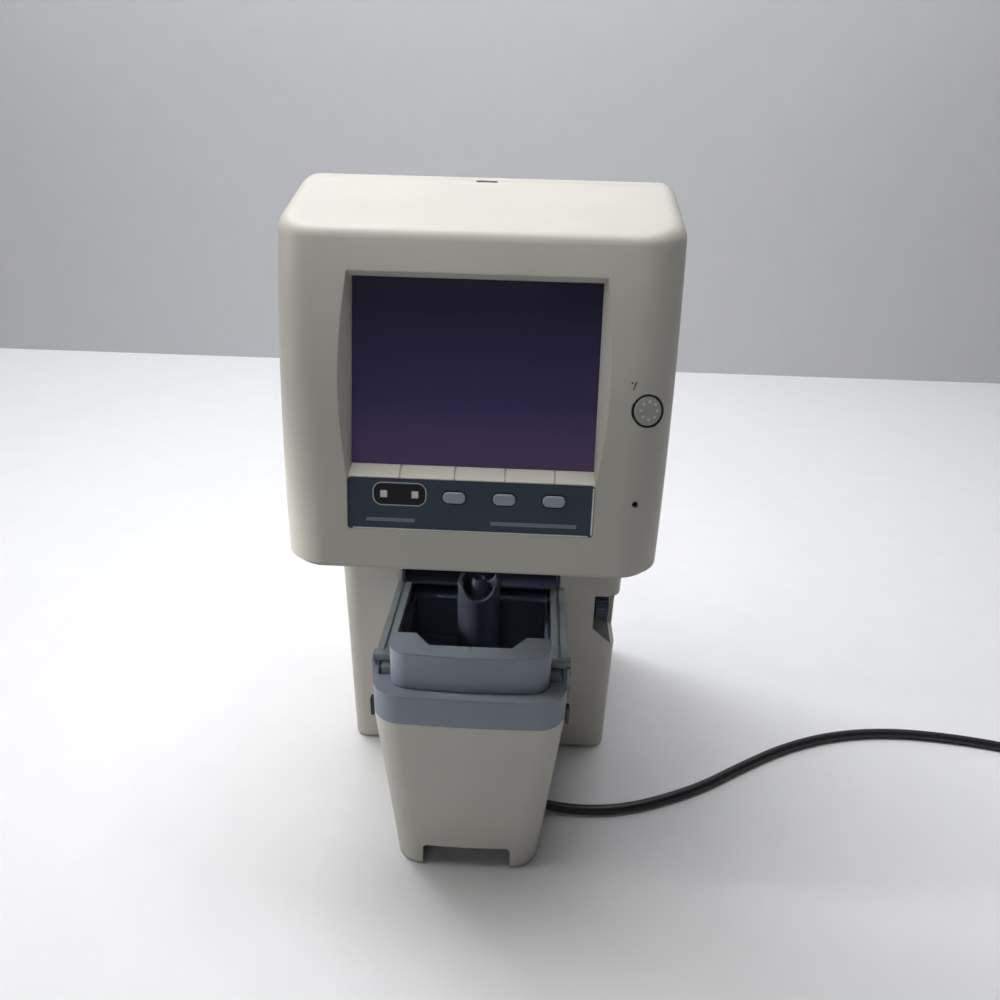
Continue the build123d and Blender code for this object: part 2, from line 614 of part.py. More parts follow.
with BuildPart() as lamp_housing:
    rod((0, AXIS_Y, 281), 16, 38)
    rod((0, AXIS_Y, 278), 9, 40, mode=Mode.SUBTRACT)
    for z in range(268, 298, 5):
        rod((0, AXIS_Y, z), 19, 1.5)
        rod((0, AXIS_Y, z), 9, 2, mode=Mode.SUBTRACT)
save(lamp_housing, "lamp_housing")

# ---- Lens holder ----
HOLDER_Z = 188.0
with BuildPart() as lens_holder:
    block((-12, 40), (GUIDE_Y - 4, GUIDE_Y + 4), (HOLDER_Z, HOLDER_Z + 4))
    for side in (-1, 1):
        block((side * 10 - 2, side * 10 + 2), (GUIDE_Y + 3, -24), (HOLDER_Z, HOLDER_Z + 4))
    rod((GUIDE_X, GUIDE_Y, 221), 3, 62)
    block((-6, 6), (GUIDE_Y - 12, GUIDE_Y - 3), (HOLDER_Z, HOLDER_Z + 3))
save(lens_holder, "lens_holder")

with BuildPart() as holder_pins:
    for x, y in ((0, GUIDE_Y), (-10, -27), (10, -27)):
        rod((x, y, HOLDER_Z - 6), 1.5, 12)
save(holder_pins, "holder_pins")

with BuildPart() as holder_guide:
    rod((GUIDE_X, GUIDE_Y, 228), GUIDE_R, 26)
    rod((GUIDE_X, GUIDE_Y, 228), 3 + RUNNING, 30, mode=Mode.SUBTRACT)
save(holder_guide, "holder_guide")

# ---- Marker ----
PEN_XS = (-17, 0, 17)
MARKER = Plane(origin=(0, -11.8, 184.2), x_dir=(1, 0, 0), z_dir=(0, 1, 1))
with BuildPart(MARKER) as marker_block:
    block((-24, 24), (-7, 7), (28, 44))
    block((-46, -23), (-3, 3), (30, 38))
    rod((-46, 0, 34), 5, 14)
    for x in (-8.5, 8.5):
        rod((x, 2, 36), 3 + RUNNING, 30, mode=Mode.SUBTRACT)
save(marker_block, "marker_block")

with BuildPart(MARKER) as marker_pens:
    for x in PEN_XS:
        rod((x, -1 if x else -3.5, 15.5), 2, 25)
        rod((x, -1 if x else -3.5, 2), 0.9, 4)
save(marker_pens, "marker_pens")

with BuildPart(MARKER) as marker_rail:
    for x in (-8.5, 8.5):
        rod((x, 2, 27), 3, 50)
    block((-20, 20), (-4, 7), (50, 54))
save(marker_rail, "marker_rail")

# ---- Frame, base and boards ----
with BuildPart() as chassis_frame:
    block((-80, 80), (-4, 121), (6.5, 9.5))
    block((-80, 80), (118, 121), (6.5, 385))
    block((-65, 65), (-58, 121), (240, 243))
    for side in (-1, 1):
        inner, outer = sorted((side * 62, side * 65))
        block((inner, outer), (-6, 121), (6.5, 136))
        block((inner, outer), (60, 121), (130, 243))
    block((-6, 6), (22, 30), (222, 241))
    rod((0, AXIS_Y, 241), BARREL_R, 10, mode=Mode.SUBTRACT)
    rod((0, SHAFT_Y, SHAFT_Z), SHAFT_R + RUNNING, 140, "X", Mode.SUBTRACT)
    rod((GUIDE_X, GUIDE_Y, 240), GUIDE_R + 1, 12, mode=Mode.SUBTRACT)
    block((-58, 58), (110, 125), (16, 90), mode=Mode.SUBTRACT)
save(chassis_frame, "chassis_frame")

FRONT_FEET = ((-36, -112), (36, -112))
REAR_FEET = ((-78, 8), (78, 8), (-78, 112), (78, 112))
with BuildPart() as base_plate:
    block((-92, 92), (-6, 126), (FOOT_H, 6.5))
    block((-40, 40), (-122, -4), (PLATE_Z, PLATE_Z + 2))
    block((-40, 40), (-6, -4), (FOOT_H, PLATE_Z + 2))
    for x, y in FRONT_FEET:
        rod((x, y, (FOOT_H + PLATE_Z) / 2), 5.5, PLATE_Z - FOOT_H)
save(base_plate, "base_plate")

with BuildPart() as rubber_feet:
    for x, y in FRONT_FEET:
        rod((x, y, FOOT_H / 2), 5.5, FOOT_H)
    for x, y in REAR_FEET:
        rod((x, y, FOOT_H / 2), 9, FOOT_H)
save(rubber_feet, "rubber_feet")


def board(node, x, z, chips):
    """A circuit board on four standoffs against the frame's back plate."""
    with BuildPart() as circuit:
        block(x, (108, 109.6), z)
        for px in (x[0] + 5, x[1] - 5):
            for pz in (z[0] + 5, z[1] - 5):
                rod((px, 113.6, pz), 3, 8.8, "Y")
        for cx, cz, width, height, depth in chips:
            block((cx - width / 2, cx + width / 2), (108 - depth, 108.5), (cz - height / 2, cz + height / 2))
    save(circuit, node)


board("main_board", (-70, 70), (255, 370),
      ((-30, 320, 28, 28, 3), (20, 330, 20, 20, 3), (40, 285, 40, 12, 9)))
board("power_board", (-56, 10), (100, 190),
      ((-35, 160, 30, 30, 22), (-10, 125, 18, 24, 28), (-40, 118, 16, 16, 20)))

# ---- Power cord ----
CORD_EXIT = (40.0, -82.0, 9.0)
with BuildPart() as cord_relief:
    block((2, 13), (-90, -74), (3, PLATE_Z))
    with BuildSketch(Plane.YZ.offset(12)):
        with Locations((CORD_EXIT[1], CORD_EXIT[2])):
            Circle(5.8)
    with BuildSketch(Plane.YZ.offset(CORD_EXIT[0])):
        with Locations((CORD_EXIT[1], CORD_EXIT[2])):
            Circle(CORD_R + 0.6)
    loft()
save(cord_relief, "cord_relief")


def cord(node, points):
    """A round cord along straight runs joined by arcs as large as the runs allow."""
    bends = []
    for before, here, after in zip(points, points[1:], points[2:]):
        first, second = Vector(*here) - Vector(*before), Vector(*after) - Vector(*here)
        turn = radians(first.get_angle(second))
        bends.append(0.45 * min(first.length, second.length) / tan(turn / 2))
    with BuildPart() as tube:
        with BuildLine() as route:
            FilletPolyline(*points, radius=bends)
        start = Vector(*points[1]) - Vector(*points[0])
        with BuildSketch(Plane(origin=points[0], z_dir=start)):
            Circle(CORD_R)
        sweep(path=route.wire())
    length = route.wire().length
    print(node, "bend radii", [round(bend) for bend in bends], "length", round(length, 1))
    print(node, "volume over section times length", tube.part.volume / (pi * CORD_R**2 * length))
    save(tube, node)


LAID = 3.6  # height of the cord's middle where it lies on the table
cord("cord_tube", [
    CORD_EXIT, (62, -82.5, LAID), (89, -83, LAID), (116, -78, LAID), (146, -66, LAID), (173, -52, LAID),
    (201, -33, LAID), (243, -7, LAID), (289, 11, LAID), (338, 18, LAID), (387, 14, LAID), (430, 5, LAID),
    (470, -8, LAID),
])
cord("cord_tail", [(504.2, -55.1, 10.6), (504.4, -74, 8), (503, -90, 8.5), (501, -106, 12)])

with BuildPart() as cord_coil:
    rod((*COIL_CENTRE, COIL_H / 2), COIL_MEAN_R + COIL_BAND / 2, COIL_H)
    rod((*COIL_CENTRE, COIL_H / 2), COIL_MEAN_R - COIL_BAND / 2, COIL_H + 2, mode=Mode.SUBTRACT)
save(cord_coil, "cord_coil")

PLUG_X, PLUG_Z = 501.0, 12.5
PLUG_Y = -118.0  # the cord side of the plug's grip
with BuildPart() as plug_body:
    with BuildSketch(Plane.XZ.offset(-PLUG_Y)):
        with Locations((PLUG_X, PLUG_Z)):
            RectangleRounded(25, 24, 8)
    extrude(amount=34)
    with BuildSketch(Plane.XZ.offset(-PLUG_Y - 12)):
        with Locations((PLUG_X, 12)):
            Circle(CORD_R + 0.6)
    with BuildSketch(Plane.XZ.offset(-PLUG_Y)):
        with Locations((PLUG_X, PLUG_Z)):
            Circle(8)
    loft()
save(plug_body, "plug_body")

with BuildPart() as plug_pins:
    for side in (-1, 1):
        blade_x = PLUG_X + side * 6.35
        block((blade_x - 0.75, blade_x + 0.75), (PLUG_Y - 51, PLUG_Y - 34), (PLUG_Z - 0.5, PLUG_Z + 5.8))
    rod((PLUG_X, PLUG_Y - 43, PLUG_Z - 5.5), 2.4, 18, "Y")
save(plug_pins, "plug_pins")
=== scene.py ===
import json
from math import cos, pi, radians, sin

import bmesh
import bpy
from mathutils import Matrix, Vector


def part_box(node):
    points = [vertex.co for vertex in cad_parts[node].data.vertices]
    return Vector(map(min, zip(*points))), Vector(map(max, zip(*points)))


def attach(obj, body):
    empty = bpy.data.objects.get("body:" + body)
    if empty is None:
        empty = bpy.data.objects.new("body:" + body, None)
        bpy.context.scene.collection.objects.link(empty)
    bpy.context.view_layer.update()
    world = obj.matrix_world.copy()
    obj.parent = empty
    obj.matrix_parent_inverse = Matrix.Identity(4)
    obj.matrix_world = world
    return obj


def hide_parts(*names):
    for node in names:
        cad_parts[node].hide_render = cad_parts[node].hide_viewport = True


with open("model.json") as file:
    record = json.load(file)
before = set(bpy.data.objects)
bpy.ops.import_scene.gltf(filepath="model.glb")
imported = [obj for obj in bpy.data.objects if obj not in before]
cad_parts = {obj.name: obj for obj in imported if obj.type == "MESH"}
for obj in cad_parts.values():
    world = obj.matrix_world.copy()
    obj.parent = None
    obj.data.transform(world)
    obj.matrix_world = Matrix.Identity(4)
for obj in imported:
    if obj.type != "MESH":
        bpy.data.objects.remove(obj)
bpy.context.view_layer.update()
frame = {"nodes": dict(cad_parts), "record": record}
nodes = frame["nodes"]
slot_of = {part["node"]: part["material_slot"] for part in frame["record"]["subparts"]}
body_of = {node: body for body, members in frame["record"]["behaviour"]["bodies"].items() for node in members}
MM = 0.001

# ---- Camera ----
CAMERA_AT = (0.02834, -0.51519, 0.44049)
CAMERA_DOWN, CAMERA_LEFT, CAMERA_ROLL = 24.41, 1.856, 1.544
CAMERA_LENS = 28.8


def make_camera():
    data = bpy.data.cameras.new("camera")
    data.lens = CAMERA_LENS
    camera = bpy.data.objects.new("camera", data)
    turn = Matrix.Rotation(radians(CAMERA_LEFT), 4, "Z") @ Matrix.Rotation(radians(90 - CAMERA_DOWN), 4, "X")
    camera.matrix_world = Matrix.Translation(CAMERA_AT) @ turn @ Matrix.Rotation(radians(CAMERA_ROLL), 4, "Z")
    bpy.context.scene.collection.objects.link(camera)
    bpy.context.scene.camera = camera


# ---- Places on the head ----
SCREEN_TILT, PANEL_TILT = 14.25, 9.25
SCREEN_HALF_DEPTH, PANEL_HALF_DEPTH = 0.85, 0.8


def axes_matrix(across, up, out, origin):
    """A frame whose X, Y and Z run across, up and out from an origin."""
    return Matrix((
        (across.x, up.x, out.x, origin.x),
        (across.y, up.y, out.y, origin.y),
        (across.z, up.z, out.z, origin.z),
        (0, 0, 0, 1),
    ))


def leaning_frame(node, tilt, depth):
    """Axes (across, up, out) of a leaning face, from the middle of the node's box and its half depth."""
    low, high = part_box(node)
    up = Vector((0, sin(radians(tilt)), cos(radians(tilt))))
    out = Vector((0, -cos(radians(tilt)), sin(radians(tilt))))
    return axes_matrix(Vector((1, 0, 0)), up, out, (low + high) / 2 + out * depth)


SCREEN_FACE = leaning_frame("screen_window", SCREEN_TILT, SCREEN_HALF_DEPTH * MM)
PANEL_FACE = leaning_frame("panel_insert", PANEL_TILT, PANEL_HALF_DEPTH * MM)

# ---- Materials ----


def tone(colour, factor):
    return (*(min(1.0, channel * factor) for channel in colour), 1.0)


def surface(name, colour, rough, grain=0.00025, grain_depth=0.06, stain=0.05, metal=0.0, coat=0.0, edge=0.0,
            specular=0.5):
    """A moulded or finished surface: drifting tone, uneven gloss, fine grain and softened edges."""
    material = bpy.data.materials.new(name)
    material.use_nodes = True
    tree = material.node_tree
    shader = tree.nodes["Principled BSDF"]
    shader.inputs["Metallic"].default_value = metal
    shader.inputs["Coat Weight"].default_value = coat
    shader.inputs["Coat Roughness"].default_value = 0.15
    shader.inputs["Specular IOR Level"].default_value = specular
    place = tree.nodes.new("ShaderNodeTexCoord").outputs["Object"]

    def noise(size, detail):
        node = tree.nodes.new("ShaderNodeTexNoise")
        node.inputs["Scale"].default_value = 1 / size
        node.inputs["Detail"].default_value = detail
        tree.links.new(place, node.inputs["Vector"])
        return node.outputs["Fac"]

    tint = tree.nodes.new("ShaderNodeValToRGB")
    tint.color_ramp.elements[0].position = 0.3
    tint.color_ramp.elements[1].position = 0.7
    tint.color_ramp.elements[0].color = tone(colour, 1 - stain)
    tint.color_ramp.elements[1].color = tone(colour, 1 + stain)
    tree.links.new(noise(0.035, 4), tint.inputs["Fac"])
    tree.links.new(tint.outputs["Color"], shader.inputs["Base Color"])
    gloss = tree.nodes.new("ShaderNodeMapRange")
    gloss.inputs["To Min"].default_value = rough * 0.85
    gloss.inputs["To Max"].default_value = min(1.0, rough * 1.15)
    tree.links.new(noise(0.012, 3), gloss.inputs["Value"])
    tree.links.new(gloss.outputs["Result"], shader.inputs["Roughness"])
    bump = tree.nodes.new("ShaderNodeBump")
    bump.inputs["Strength"].default_value = grain_depth
    bump.inputs["Distance"].default_value = grain
    tree.links.new(noise(grain * 2.2, 2), bump.inputs["Height"])
    if edge:
        bevel = tree.nodes.new("ShaderNodeBevel")
        bevel.samples = 4
        bevel.inputs["Radius"].default_value = edge
        tree.links.new(bevel.outputs["Normal"], bump.inputs["Normal"])
    tree.links.new(bump.outputs["Normal"], shader.inputs["Normal"])
    return material


def screen_material():
    """A dark glossy screen face, with a painted sheen: lighter, bluer and warmer towards its foot."""
    material = surface("screen_face", (0.012, 0.011, 0.022), 0.09, grain_depth=0.0, stain=0.1, coat=0.4)
    tree = material.node_tree
    shader = tree.nodes["Principled BSDF"]
    low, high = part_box("screen_window")
    place = tree.nodes.new("ShaderNodeTexCoord").outputs["Object"]
    split = tree.nodes.new("ShaderNodeSeparateXYZ")
    tree.links.new(place, split.inputs["Vector"])
    height = tree.nodes.new("ShaderNodeMapRange")
    height.inputs["From Min"].default_value = low.z
    height.inputs["From Max"].default_value = high.z
    tree.links.new(split.outputs["Z"], height.inputs["Value"])
    # Painted sheen: the screen's colour lightens from its top down to its foot.
    ramp = tree.nodes.new("ShaderNodeValToRGB")
    ramp.color_ramp.elements[0].color = (0.150, 0.095, 0.220, 1)
    ramp.color_ramp.elements[1].color = (0.026, 0.024, 0.055, 1)
    ramp.color_ramp.elements[1].position = 0.9
    middle = ramp.color_ramp.elements.new(0.35)
    middle.color = (0.066, 0.054, 0.150, 1)
    tree.links.new(height.outputs["Result"], ramp.inputs["Fac"])
    tree.links.new(ramp.outputs["Color"], shader.inputs["Base Color"])
    return material


def glass_material():
    material = bpy.data.materials.new("optical_glass")
    material.use_nodes = True
    shader = material.node_tree.nodes["Principled BSDF"]
    shader.inputs["Base Color"].default_value = (0.9, 0.95, 1.0, 1)
    shader.inputs["Roughness"].default_value = 0.02
    shader.inputs["Transmission Weight"].default_value = 1.0
    return material


SHELL_EDGE = 1.2 * MM
IVORY = (0.56, 0.54, 0.482)
BLUE_GREY = (0.235, 0.27, 0.325)
materials = {
    "ivory_shell": surface("ivory_shell", IVORY, 0.46, stain=0.025, grain_depth=0.12, edge=SHELL_EDGE),
    "ivory_under": surface("ivory_under", tone(IVORY, 0.9)[:3], 0.5, stain=0.03, edge=SHELL_EDGE),
    "blue_grey": surface("blue_grey", BLUE_GREY, 0.48, stain=0.03, grain_depth=0.12, edge=SHELL_EDGE),
    "navy_lining": surface("navy_lining", (0.066, 0.080, 0.130), 0.5, stain=0.06, edge=0.6 * MM),
    "rail_metal": surface("rail_metal", (0.25, 0.29, 0.31), 0.38, stain=0.06, metal=0.25, edge=0.4 * MM),
    "dark_screw": surface("dark_screw", (0.03, 0.03, 0.034), 0.35, metal=0.7, edge=0.2 * MM),
    "dark_trim": surface("dark_trim", (0.012, 0.012, 0.014), 0.4, edge=0.3 * MM),
    "screen_face": screen_material(),
    "lcd_body": surface("lcd_body", (0.04, 0.04, 0.045), 0.5),
    "panel_blue": surface("panel_blue", (0.042, 0.064, 0.096), 0.42, grain_depth=0.02, stain=0.015,
                          edge=0.4 * MM),
    "key_grey": surface("key_grey", (0.34, 0.39, 0.44), 0.42, stain=0.03, edge=0.5 * MM),
    "key_white": surface("key_white", (0.78, 0.80, 0.84), 0.4, stain=0.02, edge=0.3 * MM),
    "wheel_blue": surface("wheel_blue", (0.045, 0.065, 0.105), 0.45, edge=0.4 * MM),
    "frame_metal": surface("frame_metal", (0.55, 0.56, 0.58), 0.36, metal=1.0, stain=0.05, edge=0.4 * MM),
    "optics_black": surface("optics_black", (0.072, 0.083, 0.120), 0.4, metal=0.2, edge=0.5 * MM),
    "lamp_metal": surface("lamp_metal", (0.5, 0.5, 0.52), 0.3, metal=1.0, edge=0.3 * MM),
    "optical_glass": glass_material(),
    "board_green": surface("board_green", (0.02, 0.13, 0.06), 0.35, stain=0.12, coat=0.3),
    "holder_grey": surface("holder_grey", (0.12, 0.135, 0.16), 0.45, edge=0.5 * MM),
    "pen_black": surface("pen_black", (0.02, 0.02, 0.023), 0.35, edge=0.2 * MM),
    "soft_rubber": surface("soft_rubber", (0.022, 0.022, 0.022), 0.75, grain=0.0004, grain_depth=0.2),
    "rack_plastic": surface("rack_plastic", (0.70, 0.70, 0.68), 0.4, edge=0.2 * MM),
    "gear_brass": surface("gear_brass", (0.72, 0.52, 0.22), 0.3, metal=1.0, edge=0.2 * MM),
    "panel_grey": surface("panel_grey", (0.10, 0.10, 0.105), 0.5, edge=0.4 * MM),
    "cord_black": surface("cord_black", (0.013, 0.013, 0.015), 0.42, grain=0.0003, stain=0.1),
    "plug_metal": surface("plug_metal", (0.75, 0.73, 0.68), 0.22, metal=1.0, edge=0.3 * MM),
}
button_grey = surface("button_grey", (0.44, 0.44, 0.40), 0.45, stain=0.03, edge=0.4 * MM)
# White for print, and for the painted highlights along the panel's edges.
print_and_highlight_white = surface("print_and_highlight_white", (0.78, 0.80, 0.82), 0.5, stain=0.02)
print_grey = surface("print_grey", (0.20, 0.235, 0.27), 0.5, stain=0.02)
print_dark = surface("print_dark", (0.06, 0.06, 0.055), 0.5)
# Near-black for the real gaps round the keys, and painted shade for the button's ring and the trimmer's hole.
gap_and_shade_black = surface("gap_and_shade_black", (0.006, 0.006, 0.008), 0.6, stain=0.02)
cell_dark = surface("cell_dark", (0.020, 0.016, 0.045), 0.3, stain=0.02)
# Painted shade for the inside of the thumbwheel's recess.
painted_shade_recess = surface("painted_shade_recess", (0.060, 0.068, 0.070), 0.6, stain=0.05)
dot_light = surface("dot_light", (0.74, 0.74, 0.70), 0.35, stain=0.02)


def dress(piece, material):
    piece.data.materials.clear()
    piece.data.materials.append(material)


def paint_cad_nodes():
    for name, node in nodes.items():
        for index in range(len(node.material_slots)):
            node.material_slots[index].material = materials[slot_of[name]]
    dress(nodes["memory_button"], button_grey)
    dress(nodes["table_racks"], materials["rail_metal"])
    # Painted shade: the trimmer behind its hole is dressed near-black so the hole reads dark.
    dress(nodes["contrast_trimmer"], gap_and_shade_black)


# ---- Mesh helpers ----
def add_mesh(name, mesh, body, material):
    piece = bpy.data.objects.new(name, mesh)
    bpy.context.scene.collection.objects.link(piece)
    dress(piece, material)
    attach(piece, body)
    return piece


def rounded_outline(width, height, radius, steps=8):
    """Corner points of a rounded rectangle about the origin, anticlockwise."""
    points = []
    corners = ((1, 1, 0), (-1, 1, 90), (-1, -1, 180), (1, -1, 270))
    for across, up, start in corners:
        for step in range(steps + 1):
            angle = radians(start + 90 * step / steps)
            points.append((
                across * (width / 2 - radius) + radius * cos(angle),
                up * (height / 2 - radius) + radius * sin(angle),
            ))
    return points


def plate(name, face, outline, thickness, material, body="root", hole=None, at=(0, 0), lift=0.0):
    """A thin plate on a face's frame, with or without a hole of as many corners; sizes in mm."""
    build = bmesh.new()

    def ring(points, height):
        places = (Vector(((x + at[0]) * MM, (y + at[1]) * MM, height * MM)) for x, y in points)
        return [build.verts.new(face @ place) for place in places]

    def wall(low, high, flip=False):
        count = len(low)
        for i in range(count):
            quad = (low[i], low[(i + 1) % count], high[(i + 1) % count], high[i])
            build.faces.new(reversed(quad) if flip else quad)

    bottom, top = ring(outline, lift), ring(outline, lift + thickness)
    wall(bottom, top)
    if hole:
        inner_bottom, inner_top = ring(hole, lift), ring(hole, lift + thickness)
        wall(inner_bottom, inner_top, flip=True)
        wall(top, inner_top)
        wall(inner_bottom, bottom)
    else:
        build.faces.new(top)
        build.faces.new(reversed(bottom))
    bmesh.ops.recalc_face_normals(build, faces=build.faces)
    mesh = bpy.data.meshes.new(name)
    build.to_mesh(mesh)
    build.free()
    return add_mesh(name, mesh, body, material)


# ---- Cord ----
CORD_D, CORD_LENGTH = 7.0, 1.8
LAID = 3.6
ROUTE = [
    (40, -82, 9), (62, -82.5, LAID), (89, -83, LAID), (116, -78, LAID), (146, -66, LAID), (173, -52, LAID),
    (201, -33, LAID), (243, -7, LAID), (289, 11, LAID), (338, 18, LAID), (387, 14, LAID), (430, 5, LAID),
]
TAIL = [(504.4, -74, 8), (503, -90, 8.5), (501, -106, 12)]
COIL_CENTRE = (454.7, -55.1)
COIL_IN, COIL_OUT = 30.5, 49.5
COIL_START, COIL_SWEEP = 72.0, 1872.0
COIL_STEP = 22.5


def coil_points():
    """Turns wound inwards on the table, then outwards on top of them, clockwise from above."""
    count = round(COIL_SWEEP / COIL_STEP)
    for step in range(count + 1):
        share = step / count
        angle = radians(COIL_START - COIL_SWEEP * share)
        radius = COIL_IN + (COIL_OUT - COIL_IN) * abs(1 - 2 * share)
        climb = min(1.0, max(0.0, (share - 0.47) / 0.06))
        rise = CORD_D * climb * climb * (3 - 2 * climb)
        yield (COIL_CENTRE[0] + radius * cos(angle), COIL_CENTRE[1] + radius * sin(angle), LAID + rise)


def make_cord():
    points = [*ROUTE, *coil_points(), *TAIL]
    curve = bpy.data.curves.new("power_cord", "CURVE")
    curve.dimensions = "3D"
    curve.bevel_depth = CORD_D / 2 * MM
    curve.bevel_resolution = 6
    curve.resolution_u = 8
    spline = curve.splines.new("NURBS")
    spline.points.add(len(points) - 1)
    for target, point in zip(spline.points, points):
        target.co = (*(value * MM for value in point), 1)
    spline.order_u = 3
    spline.use_endpoint_u = True
    cord = bpy.data.objects.new("power_cord", curve)
    bpy.context.scene.collection.objects.link(cord)
    dress(cord, materials["cord_black"])
    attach(cord, "root")
    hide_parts("cord_tube", "cord_tail", "cord_coil")


# ---- Printed lines, key gaps and painted edge highlights on the panel ----
KEY_PLACES = [(-8.7, 5.0), (18.0, 5.0), (44.5, 5.0)]
SELECT_PLACE = (-38.0, 5.8)
KEY_GAP_OUTER, KEY_GAP_INNER = (13.6, 7.6, 3.8), (12.3, 6.3, 3.1)
SELECT_OUTER, SELECT_INNER = (28.8, 12.8, 5.0), (28.0, 12.0, 4.6)
PRINT = 0.06
BAR_CORNER, EDGE_CORNER = 0.3, 0.2
PRINTED_BARS = [(26.0, 2.0, (-43.0, -8.6)), (46.0, 2.2, (34.0, -8.6))]
# Painted highlights: thin white lines where the panel's right and foot edges catch the light.
PANEL_EDGE_HIGHLIGHTS = [("panel_highlight_right", 0.9, 26.0, (65.2, 0)), ("panel_highlight_foot", 127.0, 0.8, (0, -13.7))]


def make_panel_prints_and_highlights():
    for number, place in enumerate(KEY_PLACES, start=1):
        plate(f"key_gap_{number}", PANEL_FACE, rounded_outline(*KEY_GAP_OUTER), PRINT, gap_and_shade_black,
              hole=rounded_outline(*KEY_GAP_INNER), at=place)
    plate("select_outline", PANEL_FACE, rounded_outline(*SELECT_OUTER), PRINT, print_and_highlight_white,
          hole=rounded_outline(*SELECT_INNER), at=SELECT_PLACE)
    for number, (width, height, place) in enumerate(PRINTED_BARS, start=1):
        outline = rounded_outline(width, height, BAR_CORNER)
        plate(f"printed_bar_{number}", PANEL_FACE, outline, PRINT, print_grey, at=place)
    # The painted highlights along the panel's right and foot edges.
    for name, width, height, place in PANEL_EDGE_HIGHLIGHTS:
        outline = rounded_outline(width, height, EDGE_CORNER, steps=2)
        plate(name, PANEL_FACE, outline, PRINT, print_and_highlight_white, at=place)


# ---- Fine cells seen through the lower part of the screen ----
CELL, CELL_ACROSS, CELL_UP = 0.42, 3.3, 2.9
CELL_PATCHES = [(-57.0, -45.0, 12, 6), (14.0, -44.0, 13, 7)]


def make_screen_cells():
    """Two patches of small dark dots, every other row shifted by half a step, in one mesh."""
    vertices, faces = [], []
    for left, foot, columns, rows in CELL_PATCHES:
        for row in range(rows):
            for column in range(columns - row % 3):
                x, y = left + (column + row % 2 / 2) * CELL_ACROSS, foot + row * CELL_UP
                corners = ((x, y), (x + CELL, y), (x + CELL, y + CELL), (x, y + CELL))
                first = len(vertices)
                vertices += [tuple(SCREEN_FACE @ Vector((u * MM, v * MM, PRINT * MM))) for u, v in corners]
                faces.append(tuple(range(first, first + 4)))
    mesh = bpy.data.meshes.new("screen_cells")
    mesh.from_pydata(vertices, [], faces)
    add_mesh("screen_cells", mesh, "root", cell_dark)


# ---- Memory button: its painted shadow ring, its dots and the mark beside it ----
BUTTON_LEAN = 16
RING_IN, RING_OUT = 7.5, 9.0
DOT_COUNT, DOT_CIRCLE, DOT_R = 8, 4.6, 0.75
DOT_RISE = 0.25
MARK_ACROSS, MARK_UP, MARK_REACH = -8.0, 12.5, 30
MARK_DASH = [(-0.9, -2.0), (-0.1, -2.0), (1.3, 2.2), (0.5, 2.2)]
MARK_DOT, MARK_DOT_R = (-1.2, 1.6), 0.55


def turned_frame(node, turn):
    """Axes of a round piece that leans with the screen and is turned sideways, on its foremost plane."""
    low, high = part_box(node)
    tilt = radians(SCREEN_TILT)
    face_out, up = Vector((0, -cos(tilt), sin(tilt))), Vector((0, sin(tilt), cos(tilt)))
    side = Vector((1, 0, 0))
    across = side * cos(radians(turn)) - face_out * sin(radians(turn))
    out = side * sin(radians(turn)) + face_out * cos(radians(turn))
    middle = (low + high) / 2
    piece = nodes[node]
    foremost = max((piece.matrix_world @ vertex.co - middle).dot(out) for vertex in piece.data.vertices)
    return axes_matrix(across, up, out, middle + out * foremost)


def landed_frame(node, start, direction, upward):
    """Axes on a node's surface where a line from a start point meets it."""
    _, place, out, _ = nodes[node].ray_cast(start, direction)
    up = (upward - out * upward.dot(out)).normalized()
    return axes_matrix(up.cross(out), up, out, place)


def circle(radius, count=48):
    return [(radius * cos(2 * pi * i / count), radius * sin(2 * pi * i / count)) for i in range(count)]


def make_button_trim():
    # Painted shadow: a dark ring laid on the button's ring.
    plate("button_shadow_ring", turned_frame("button_ring", BUTTON_LEAN), circle(RING_OUT), PRINT, gap_and_shade_black,
          hole=circle(RING_IN))
    face = turned_frame("memory_button", BUTTON_LEAN)
    for number in range(DOT_COUNT):
        angle = 2 * pi * number / DOT_COUNT
        place = (DOT_CIRCLE * cos(angle), DOT_CIRCLE * sin(angle))
        plate(f"button_dot_{number + 1}", face, circle(DOT_R, 16), DOT_RISE, dot_light,
              body_of["memory_button"], at=place)


def make_button_mark():
    """A plain slanted dash and a dot printed above the button, towards the screen."""
    ring = turned_frame("button_ring", BUTTON_LEAN)
    across, up, out = (Vector(ring.col[i][:3]) for i in range(3))
    start = ring.translation + (across * MARK_ACROSS + up * MARK_UP + out * MARK_REACH) * MM
    face = landed_frame("front_cover", start, -out, up)
    plate("button_mark_dash", face, MARK_DASH, PRINT, print_dark)
    plate("button_mark_dot", face, circle(MARK_DOT_R, 16), PRINT, print_dark, at=MARK_DOT)


# ---- Painted shade: a dark sheet inside the thumbwheel's recess ----
RECESS_X, RECESS_BACK, RECESS_TOP = 83.0, 19.0, 139.5
RECESS_FLOOR, RECESS_FALL = 112.0, 34.0 / 37.0
RECESS_EDGE, TOWER_FRONT = 97.0, -13.0
SHADE_INSET = 0.3


